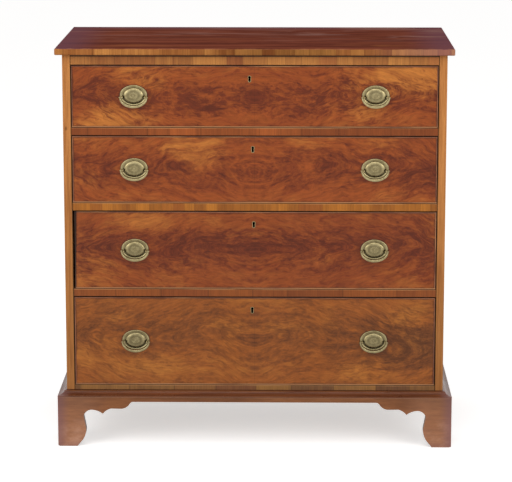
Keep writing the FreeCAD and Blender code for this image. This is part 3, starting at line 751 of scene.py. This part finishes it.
def bareWoodMaterial(name, tones, stretch, seed):
    # planed secondary wood with old stains
    place = startMaterial(name, 0.1)
    board = grain(place, {**tones, "stretch": stretch}, seed)
    stain = noise(stretched(place, 5.0), 5.0, 0.65, 0.4)
    colour = shaded(board["Color"], stain, 0.3, 0.62, 0.72, 1.05)
    roughness = smooth(stain, 0.3, 0.7, 0.62, 0.82)
    return finishMaterial(colour, roughness, board["Height"], 0.4 * mm)


backTones = {"light": (150, 114, 78), "dark": (100, 70, 45), "stretch": (1.6, 36.0, 36.0), "boards": 4,
             "knots": (2.4, 9.0, 9.0), "joint": 1.2 * mm}


def backBoardMaterial():
    # wide boards laid across the back, each with its own grain and tone, and a dark joint between them
    place = startMaterial("back boards", 0.1)
    low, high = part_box("back_boards")
    z = split(place)["Z"]
    tall = (high.z - low.z) / backTones["boards"]
    level = over(minus(z, low.z), tall)
    index = calc("FLOOR", level)
    moved = vectorCalc("ADD", place, join(times(index, 3.7), 0.0, 0.0))
    board = grain(moved, backTones, 33.0)
    stain = noise(stretched(moved, 3.0, 6.0, 6.0), 5.0, 0.65, 0.4)
    colour = shaded(board["Color"], stain, 0.3, 0.62, 0.7, 1.06)
    chance = put("TexWhiteNoise", {"W": index}, noise_dimensions="1D").outputs["Value"]
    colour = tone(colour, timesPlus(chance, 0.26, 0.84))
    squeezed = vectorCalc("MULTIPLY", moved, backTones["knots"])
    knot = put("TexVoronoi", {"Vector": squeezed, "Scale": 1.0}).outputs["Distance"]
    colour = shaded(colour, knot, 0.03, 0.12, 0.32, 1.0)
    nearest = distance(level, calc("ROUND", level))
    colour = shaded(colour, nearest, 0.0, backTones["joint"] / tall, 0.22, 1.0)
    roughness = smooth(stain, 0.3, 0.7, 0.66, 0.84)
    return finishMaterial(colour, roughness, board["Height"], 0.4 * mm)


brassTones = {"light": (166, 153, 114), "base": (141, 128, 92), "tarnish": (40, 33, 18),
              "lowDown": 0.78}  # the lower handles are duller


def brassMaterial():
    place = startMaterial("aged brass", 0.5, 1.0)
    # tarnish in the plate's hollows, with painted shade under the bail and round the posts
    tarnishAndShade = put("Attribute", attribute_name="tarnishAndShade").outputs["Fac"]
    cloud = noise(stretched(place, 110.0), 5.0, 0.6)
    speck = noise(stretched(place, 900.0), 3.0, 0.6)
    colour = mix(smooth(cloud, 0.3, 0.7), brassTones["base"], brassTones["light"])
    tarnish = larger(tarnishAndShade, smooth(speck, 0.58, 0.78, 0.0, 0.6))
    colour = mix(tarnish, colour, brassTones["tarnish"])
    colour = shaded(colour, split(place)["Z"], 0.15, 0.95, brassTones["lowDown"], 1.0)
    roughness = timesPlus(tarnish, 0.22, smooth(cloud, 0.3, 0.7, 0.31, 0.42))
    return finishMaterial(colour, roughness, speck, 0.05 * mm)


def ironMaterial(number):
    place = startMaterial(f"lock iron {number}", 0.4, 1.0)
    rust = noise(stretched(place, 140.0), 6.0, 0.65)
    colour = mix(smooth(rust, 0.45, 0.65), (92, 86, 80), (94, 56, 36))
    # painted shade: the iron round the keyhole's throat is near-black
    throat = inKeyhole(place, number)
    colour = mix(throat, colour, keyholeShade)
    roughness = larger(smooth(rust, 0.35, 0.65, 0.42, 0.75), throat)
    return finishMaterial(colour, roughness, rust, 0.2 * mm)


agedBrass = brassMaterial()
caseBase = baseMaterial()
alongX = (2.2, 52.0, 52.0)
alongY = (60.0, 2.2, 60.0)
alongZ = (38.0, 38.0, 1.6)
liningTones = {"light": (190, 150, 102), "dark": (146, 104, 64)}
pineTones = {"light": (184, 142, 92), "dark": (136, 96, 56)}
liningWood = bareWoodMaterial("drawer lining", liningTones, alongY, 5.0)
drawerBackWood = bareWoodMaterial("drawer back", liningTones, alongX, 15.0)
innerPine = bareWoodMaterial("inner pine", pineTones, alongX, 41.0)
rearPine = bareWoodMaterial("rear pine", backTones, alongX, 51.0)
blockPine = bareWoodMaterial("block pine", backTones, alongZ, 61.0)
print("materials built")


# softened copies of the show wood: the arrises are rounded a little, as on planed and polished boards

def addObject(name, data):
    item = bpy.data.objects.new(name, data)
    bpy.context.scene.collection.objects.link(item)
    return item


def meshObject(name, mesh, material):
    data = bpy.data.meshes.new(name)
    mesh.to_mesh(data)
    mesh.free()
    data.materials.append(material)
    return addObject(name, data)


def newPiece(name, mesh, body, node, material=agedBrass):
    piece = meshObject(name, mesh, material)
    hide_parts(node)
    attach(piece, body)


def isSharp(edge, degrees):
    # an edge without two faces never is
    return edge.calc_face_angle(0.0) > math.radians(degrees)


def bevelEdges(mesh, edges, width):
    return bmesh.ops.bevel(mesh, geom=edges, offset=width, offset_type="OFFSET", affect="EDGES", segments=2,
                           profile=0.5, material=-1, clamp_overlap=True)


softening = {"merge": 0.01 * mm, "straight": math.radians(0.5), "sharpest": 35, "flat": 0.9995}


def soften(node, width, material):
    mesh = bmesh.new()
    mesh.from_mesh(nodes[node].data)
    bmesh.ops.remove_doubles(mesh, verts=mesh.verts, dist=softening["merge"])
    bmesh.ops.dissolve_limit(mesh, angle_limit=softening["straight"], verts=mesh.verts, edges=mesh.edges,
                             use_dissolve_boundaries=False)
    mark = mesh.faces.layers.float.new("arris")
    sharp = [edge for edge in mesh.edges if isSharp(edge, softening["sharpest"])]
    for face in bevelEdges(mesh, sharp, width)["faces"]:
        face[mark] = 1.0
    for face in mesh.faces:
        squareness = max(abs(part) for part in face.normal)
        face.smooth = squareness < softening["flat"]
    newPiece(node + "_softened", mesh, "carcase", node, material)


soften("top_board", 0.5 * mm, topMaterial())
soften("top_rail", 0.5 * mm, bandedMaterial("top_rail", topRailTones, banding["overhang"]))
soften("drawer_dividers", 0.7 * mm, dividerMaterial())
soften("bottom_rail", 0.5 * mm, bandedMaterial("bottom_rail", bottomRailTones))
soften("side_left", 0.6 * mm, sideMaterial("side_left", 4.0))
soften("side_right", 0.6 * mm, sideMaterial("side_right", 8.0))
soften("bracket_front", 0.8 * mm, caseBase)
soften("bracket_sides", 0.8 * mm, caseBase)
dress(["base_moulding"], mouldingMaterial())
dress(["back_boards"], backBoardMaterial())
dress(["bracket_rear"], rearPine)
dress(["foot_blocks"], blockPine)
dress(["bottom_board", "drawer_runners", "top_kickers", "drawer_stops"], innerPine)
for number in drawerNumbers:
    dress([f"drawer_{number}_front"], drawerFrontMaterial(number))
    dress([f"drawer_{number}_cockbead"], beadMaterial(number))
    dress([f"drawer_{number}_sides", f"drawer_{number}_bottom"], liningWood)
    dress([f"drawer_{number}_back"], drawerBackWood)
    dress([f"drawer_{number}_lock_case", f"drawer_{number}_lock_bolt"], ironMaterial(number))
print("woodwork dressed")


# brass

outward = Vector((0, -1, 0))


def turn(mesh, profile, centre, axis, steps):
    # profile points are (radius, height along the axis)
    start = axis.orthogonal().normalized()
    points = [mesh.verts.new(centre + start * radius + axis * height) for radius, height in profile]
    lines = [mesh.edges.new(pair) for pair in zip(points, points[1:])]
    bmesh.ops.spin(mesh, geom=points + lines, cent=centre, axis=axis, angle=2 * math.pi, steps=steps,
                   use_merge=True, use_duplicate=False)
    bmesh.ops.remove_doubles(mesh, verts=mesh.verts, dist=0.001 * mm)


def shadeSmooth(mesh, sharpest):
    bmesh.ops.recalc_face_normals(mesh, faces=mesh.faces)
    for face in mesh.faces:
        face.smooth = True
    for edge in mesh.edges:
        edge.smooth = not isSharp(edge, sharpest)


def linkedEdges(verts):
    # in a fixed order, each edge once
    return list(dict.fromkeys(edge for vert in verts for edge in vert.link_edges))


def rod(mesh, sides, radius, length, matrix):
    return bmesh.ops.create_cone(mesh, cap_ends=True, cap_tris=False, segments=sides, radius1=radius,
                                 radius2=radius, depth=length, matrix=matrix)["verts"]


def medallionRelief(share, angle):
    # height of the stamped patera over its field: a boss, a ring of petals and a ring of beads
    boss, petalEnd, beadStart, beadEnd = patera["bands"]
    if share < boss:
        return patera["relief"] * math.sqrt(1 - (share / boss) ** 2)
    if share < petalEnd:
        petal = abs(math.cos(patera["petals"] / 2 * angle)) ** 0.6
        return patera["relief"] * math.sin(math.pi * (share - boss) / (petalEnd - boss)) ** 0.7 * petal
    if beadStart < share < beadEnd:
        bead = 0.3 + 0.7 * max(math.cos(patera["beads"] * angle), 0.0)
        return patera["beadRelief"] * math.sin(math.pi * (share - beadStart) / (beadEnd - beadStart)) * bead
    return 0.0


# from the back of the plate's rim to the edge of the medallion: (share of the radius, height, tarnish)
plateProfile = [
    (0.0, 0.0, 0.0), (0.5, 0.0, 0.0), (0.98, 0.0, 0.9), (1.0, 0.25, 0.8), (1.0, 0.8, 0.3), (0.99, 1.3, 0.0),
    (0.975, 1.65, 0.0), (0.955, 1.8, 0.0), (0.93, 1.75, 0.0), (0.905, 1.5, 0.0), (0.88, 1.1, 0.1),
    (0.86, 0.8, 0.25), (0.83, 0.6, 0.35), (0.8, 0.55, 0.4), (0.78, 0.6, 0.5), (0.765, 0.9, 0.55),
    (0.752, 1.6, 0.35), (0.738, 2.4, 0.15), (0.718, 3.1, 0.0), (0.695, 3.75, 0.0), (0.665, 4.35, 0.0),
    (0.63, 4.9, 0.0), (0.585, 5.3, 0.0), (0.54, 5.6, 0.0), (0.5, 5.75, 0.12)]
# bands are where the boss and the petals end and the beads start and end, as shares of the radius
patera = {"edge": 0.5, "height": 5.8 * mm, "rings": 22, "tarnish": 0.4, "relief": 0.45 * mm,
          "beadRelief": 0.3 * mm, "bands": (0.1, 0.36, 0.39, 0.47), "petals": 12, "beads": 36}
# painted shade carried with the tarnish: the bail's shadow on the ring's lower half, a dark reflection on
# the dome's lower slope, and the posts' shadow round them
shadeOnPlate = {"ringInner": 0.735, "ringOuter": 0.87, "ring": 0.93, "slope": 0.34, "postNear": 4.4 * mm,
           "postFar": 6.8 * mm}


def plateTarnishAndShade(share, angle, height):
    if share < patera["edge"]:
        raised = min(max((height - patera["height"]) / patera["relief"], 0.0), 1.0)
        return patera["tarnish"] * (1.25 - raised)
    # painted shade only on the lower half
    lower = max(-math.sin(angle), 0.0) ** 0.5
    for outer, inner in zip(plateProfile[3:], plateProfile[4:]):
        if inner[0] <= share <= outer[0] and outer[0] > inner[0]:
            along = (outer[0] - share) / (outer[0] - inner[0])
            amount = outer[2] + (inner[2] - outer[2]) * along
            if share < shadeOnPlate["ringInner"]:
                return max(amount, shadeOnPlate["slope"] * lower)
            if share < shadeOnPlate["ringOuter"]:
                return max(amount, shadeOnPlate["ring"] * lower)
            return amount
    return plateProfile[3][2]


def makePlate(name, centre, body, node):
    mesh = bmesh.new()
    profile = [(share, height * mm) for share, height, tarnish in plateProfile]
    for step in range(1, patera["rings"] + 1):
        profile.append((patera["edge"] * (1 - step / patera["rings"]), patera["height"]))
    turn(mesh, profile, Vector(), outward, plate["segments"])
    mark = mesh.verts.layers.float.new("tarnishAndShade")
    shape = Vector((plate["width"] / 2, 1.0, plate["height"] / 2))
    for vert in mesh.verts:
        share = math.hypot(vert.co.x, vert.co.z)
        angle = math.atan2(vert.co.z, vert.co.x)
        if share < patera["edge"] - 0.01 and -vert.co.y > patera["height"] - 0.1 * mm:
            vert.co.y -= medallionRelief(share, angle)
        tarnish = plateTarnishAndShade(share, angle, -vert.co.y)
        vert.co = vert.co * shape
        # painted shadow of the posts on the plate round their feet
        fromPost = math.hypot(abs(vert.co.x) - post["aside"], vert.co.z + post["drop"])
        near = (shadeOnPlate["postFar"] - fromPost) / (shadeOnPlate["postFar"] - shadeOnPlate["postNear"])
        if share > shadeOnPlate["ringInner"] - 0.05 and abs(vert.co.x) < post["aside"]:
            tarnish = max(tarnish, min(near, 1.0))
        vert[mark] = tarnish
    bmesh.ops.translate(mesh, verts=mesh.verts, vec=centre)
    shadeSmooth(mesh, 60)
    newPiece(name, mesh, body, node)


def keyholeOutline(mesh, centre, grow, height):
    # a round eye with a slot hanging from it, round at its end, drawn as one closed line
    radius = keyhole["radius"] + grow
    slot = keyhole["slotHalf"] + grow
    endCentre = centre.z - keyhole["drop"] + keyhole["slotHalf"]
    opening = math.asin(slot / radius)
    steps = keyhole["steps"]
    points = []
    for step in range(steps + 1):
        angle = -math.pi / 2 + opening + (2 * math.pi - 2 * opening) * step / steps
        points.append((centre.x + radius * math.cos(angle), centre.z + radius * math.sin(angle)))
    for step in range(steps // 2 + 1):
        angle = math.pi + math.pi * step / (steps // 2)
        points.append((centre.x + slot * math.cos(angle), endCentre + slot * math.sin(angle)))
    verts = [mesh.verts.new((x, centre.y - height, z)) for x, z in points]
    return [mesh.edges.new(pair) for pair in zip(verts, verts[1:] + verts[:1])]


def makeKeyholeLining(name, centre, body, node):
    mesh = bmesh.new()
    inner = keyholeOutline(mesh, centre, 0.0, keyhole["proud"])
    outer = keyholeOutline(mesh, centre, keyhole["rim"], keyhole["proud"])
    face = bmesh.ops.bridge_loops(mesh, edges=inner + outer)["faces"]
    raised = bmesh.ops.extrude_face_region(mesh, geom=face)["geom"]
    back = [item for item in raised if isinstance(item, bmesh.types.BMVert)]
    bmesh.ops.translate(mesh, verts=back, vec=(0, keyhole["proud"] + keyhole["depth"], 0))
    bmesh.ops.recalc_face_normals(mesh, faces=mesh.faces)
    sharp = [edge for edge in mesh.edges if isSharp(edge, 60)]
    front = [edge for edge in sharp if max(vert.co.y for vert in edge.verts) < centre.y]
    bevelEdges(mesh, front, keyhole["bevel"])
    shadeSmooth(mesh, 50)
    newPiece(name, mesh, body, node)


# turned post from the ball's tip to the plate: (radius, height) in millimetres
postProfile = [
    (0.0, 12.0), (0.8, 11.9), (1.5, 11.5), (2.15, 10.8), (2.6, 9.8), (2.8, 8.6), (2.65, 7.5), (2.3, 6.7),
    (1.95, 6.2), (1.8, 5.6), (1.85, 4.6), (2.0, 3.4), (2.4, 2.6), (2.9, 2.2), (3.0, 1.8),
    (2.9, 1.3), (2.7, 0.4)]


def makePosts(name, places, body, node):
    mesh = bmesh.new()
    tail = (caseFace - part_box(node)[1].y) / mm  # the threaded end stops where the CAD one does
    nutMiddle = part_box(node.replace("posts", "front"))[1].y + post["nutThickness"] / 2
    for place in places:
        profile = list(postProfile)
        depth = post["threadStart"]
        while depth > tail + post["threadEnd"]:
            profile += [(post["thread"], depth), (post["valley"], depth - post["threadPitch"] / 2)]
            depth -= post["threadPitch"]
        profile += [(post["tip"], tail), (0.0, tail)]
        turn(mesh, [(radius * mm, height * mm) for radius, height in profile], place, outward,
             post["sides"])
    shadeSmooth(mesh, 50)
    for place in places:
        # each nut was tightened to an angle of its own
        turned = Matrix.Translation((place.x, nutMiddle, place.z)) @ Matrix.Rotation(math.pi / 2, 4, "X")
        turned = turned @ Matrix.Rotation(place.x * post["nutTurn"], 4, "Z")
        nut = rod(mesh, post["nutSides"], post["nutRadius"], post["nutThickness"], turned)
        bevelEdges(mesh, linkedEdges(nut), post["nutBevel"])
    newPiece(name, mesh, body, node)


# tall and deep are half the bar's thickness, up the front and towards the viewer
bail = {"halfWidth": 34.0 * mm, "drop": 24.3 * mm, "axisReach": 8.6 * mm, "steps": 72, "sides": 20,
        "section": 0.1, "endTall": 1.7 * mm, "lowTall": 3.4 * mm, "endDeep": 1.7 * mm, "lowDeep": 2.3 * mm,
        "nub": 2.3 * mm, "nubRings": 12, "pinSides": 16, "pin": 1.3 * mm, "pinInner": 26.6 * mm,
        "pinOuter": 37.0 * mm}


def makeBail(name, axis, body, node):
    # a round bar swung through half a unit circle, then drawn out to the bail's oval and thickness
    mesh = bmesh.new()
    made = bmesh.ops.create_circle(mesh, cap_ends=False, segments=bail["sides"], radius=bail["section"],
                                   matrix=Matrix.Translation((1, 0, 0)))
    bmesh.ops.spin(mesh, geom=made["verts"] + linkedEdges(made["verts"]), cent=(0, 0, 0), axis=(0, 1, 0),
                   angle=math.pi, steps=bail["steps"], use_merge=False, use_duplicate=False)
    for vert in mesh.verts:
        angle = math.atan2(-vert.co.z, vert.co.x)
        if angle < -1e-4:
            angle += 2 * math.pi
        radial = (math.hypot(vert.co.x, vert.co.z) - 1) / bail["section"]
        deep = vert.co.y / bail["section"]
        low = max(math.sin(angle), 0.0) ** 0.8
        tall = bail["endTall"] + (bail["lowTall"] - bail["endTall"]) * low
        thick = bail["endDeep"] + (bail["lowDeep"] - bail["endDeep"]) * low
        middle = Vector((bail["halfWidth"] * math.cos(angle), 0, -bail["drop"] * math.sin(angle)))
        away = Vector((math.cos(angle) / bail["halfWidth"], 0,
                       -math.sin(angle) / bail["drop"])).normalized()
        vert.co = axis + middle + away * radial * tall + Vector((0, deep * thick, 0))
    bmesh.ops.holes_fill(mesh, edges=[edge for edge in mesh.edges if edge.is_boundary])
    for side in (-1, 1):
        end = axis + Vector((side * bail["halfWidth"], 0, 0))
        bmesh.ops.create_uvsphere(mesh, u_segments=bail["sides"], v_segments=bail["nubRings"],
                                  radius=bail["nub"], matrix=Matrix.Translation(end))
        reach = bail["pinOuter"] - bail["pinInner"]
        pinMiddle = axis + Vector((side * (bail["pinInner"] + reach / 2), 0, 0))
        turned = Matrix.Translation(pinMiddle) @ Matrix.Rotation(math.pi / 2, 4, "Y")
        rod(mesh, bail["pinSides"], bail["pin"], reach, turned)
    shadeSmooth(mesh, 45)
    newPiece(name, mesh, body, node)


for number in drawerNumbers:
    right = handleCentre(number)
    body = f"drawer_{number}"
    posts = []
    for side, sign in (("left", -1), ("right", 1)):
        centre = Vector((sign * right.x, right.y, right.z))
        makePlate(f"handle_plate_{number}_{side}", centre, body, f"drawer_{number}_plates")
        axis = centre + Vector((0, -bail["axisReach"], -post["drop"]))
        makeBail(f"bail_{number}_{side}", axis, f"bail_{number}_{side}", f"drawer_{number}_bail_{side}")
        for shift in (-post["aside"], post["aside"]):
            posts.append(centre + Vector((shift, 0, -post["drop"])))
    makePosts(f"bail_posts_{number}", posts, body, f"drawer_{number}_posts")
    makeKeyholeLining(f"keyhole_lining_{number}", keyholeCentre(number), body, f"drawer_{number}_plates")
print("brass made")


# studio

studio = {
    "floorSize": 30.0, "floorColour": (0.82, 0.81, 0.8, 1.0), "floorGlow": 0.53, "ambient": 0.55,
    "white": (1.0, 1.0, 1.0, 1.0),
    "lamps": [
        {"name": "left softbox", "place": (-3.2, -3.6, 2.6), "size": 2.2, "power": 75.0},
        {"name": "right softbox", "place": (3.2, -3.6, 2.4), "size": 2.2, "power": 65.0},
        {"name": "overhead softbox", "place": (0.0, -2.4, 4.2), "size": 2.0, "power": 40.0}]}


def seenBackdrop():
    # 1 for camera, glossy and transmission rays, which see the white studio
    path = put("LightPath").outputs
    seen = larger(path["Is Camera Ray"], path["Is Glossy Ray"])
    return larger(seen, path["Is Transmission Ray"])


def makeFloor():
    mesh = bmesh.new()
    bmesh.ops.create_grid(mesh, x_segments=1, y_segments=1, size=studio["floorSize"] / 2,
                          matrix=Matrix.Translation((0, 0, -0.2 * mm)))
    material = newMaterial("studio floor")
    tree.nodes.remove(tree.nodes["Principled BSDF"])
    paper = put("BsdfDiffuse", {"Color": studio["floorColour"]}).outputs[0]
    glow = times(seenBackdrop(), studio["floorGlow"])
    light = put("Emission", {"Color": studio["white"], "Strength": glow}).outputs[0]
    both = put("AddShader", {0: paper, 1: light}).outputs[0]
    connect(tree.nodes["Material Output"], {"Surface": both})
    meshObject("studio_floor", mesh, material)


def makeWorld():
    global tree
    world = bpy.data.worlds.new("studio")
    bpy.context.scene.world = world
    world.use_nodes = True
    tree = world.node_tree
    strength = timesPlus(seenBackdrop(), 1.0 - studio["ambient"], studio["ambient"])
    connect(tree.nodes["Background"], {"Color": studio["white"], "Strength": strength})


def makeLamps():
    target = Vector((0, 0, (cadLow.z + cadHigh.z) / 2))
    for lamp in studio["lamps"]:
        light = bpy.data.lights.new(lamp["name"], "AREA")
        light.shape = "SQUARE"
        light.size = lamp["size"]
        light.energy = lamp["power"]
        holder = addObject(lamp["name"], light)
        holder.location = lamp["place"]
        holder.rotation_euler = (target - holder.location).to_track_quat("-Z", "Y").to_euler()


camera = {"place": (0.089, -6.0007, 1.6886), "down": 10.644, "aside": 0.849, "lens": 161.4, "shift": -0.05}


def makeCamera():
    data = bpy.data.cameras.new("camera")
    data.lens = camera["lens"]
    data.sensor_width = 36.0
    data.shift_y = camera["shift"]
    holder = addObject("camera", data)
    holder.location = camera["place"]
    holder.rotation_euler = (math.radians(90 - camera["down"]), 0, math.radians(camera["aside"]))
    bpy.context.scene.camera = holder


makeFloor()
makeWorld()
makeLamps()
makeCamera()
bpy.context.scene.view_settings.view_transform = "Standard"
print("studio set")
